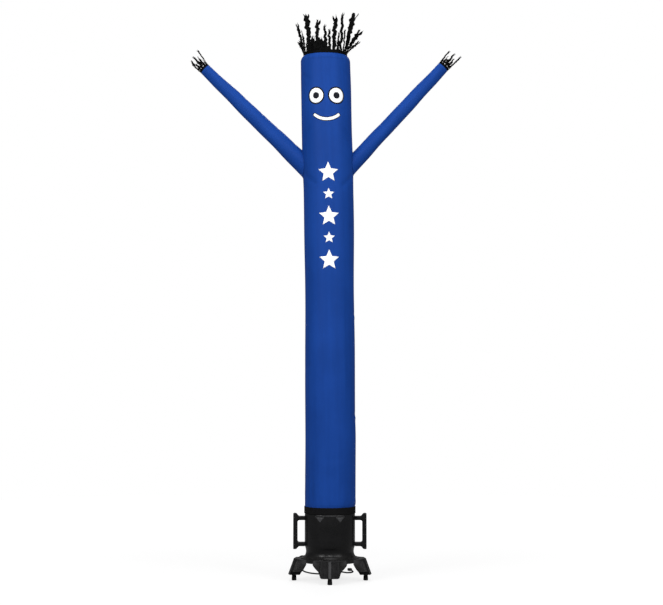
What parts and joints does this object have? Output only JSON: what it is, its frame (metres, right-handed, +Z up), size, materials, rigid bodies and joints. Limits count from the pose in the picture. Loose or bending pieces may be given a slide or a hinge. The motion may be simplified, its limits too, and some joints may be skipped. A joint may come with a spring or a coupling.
{
  "type": "inflatable air dancer on its fan base",
  "caption": "Tall blown cloth tube figure with two raised tapering arms and ribbon fringes, strapped to a free-standing four-legged fan base with a power cord.",
  "frame": {"origin": "on the floor under the middle of the figure's reach, 26 mm to the left of the fan's axis (the hair's and hands' ribbons make the reach uneven)", "axes": "+Z up along the blown tube; +X to the figure's left hand, on the viewer's right; the printed front faces -Y and the cord lies towards +Y"},
  "size_m": [1.6689, 0.7794, 3.4421],
  "materials": {
    "blue_nylon": "matte",
    "black_nylon": "matte",
    "black_webbing": "matte",
    "black_moulding": "satin",
    "black_rubber": "matte",
    "dark_steel": "satin",
    "black_cord": "satin"
  },
  "bodies": {
    "root": {"body_tube": "blue_nylon", "arm_left": "blue_nylon", "arm_right": "blue_nylon", "hair_fringe": "black_nylon", "hand_fringe_left": "black_nylon", "hand_fringe_right": "black_nylon", "fastening_strap": "black_webbing", "blower_housing": "black_moulding", "base_ring": "black_moulding", "leg_right": "black_moulding", "foot_right": "black_rubber", "leg_back": "black_moulding", "foot_back": "black_rubber", "leg_left": "black_moulding", "foot_left": "black_rubber", "leg_front": "black_moulding", "foot_front": "black_rubber", "handle_left": "black_moulding", "handle_right": "black_moulding", "intake_guard": "black_moulding", "motor": "dark_steel", "cord_gland": "black_rubber", "cord": "black_cord", "plug": "black_moulding"}
  },
  "joints": []
}
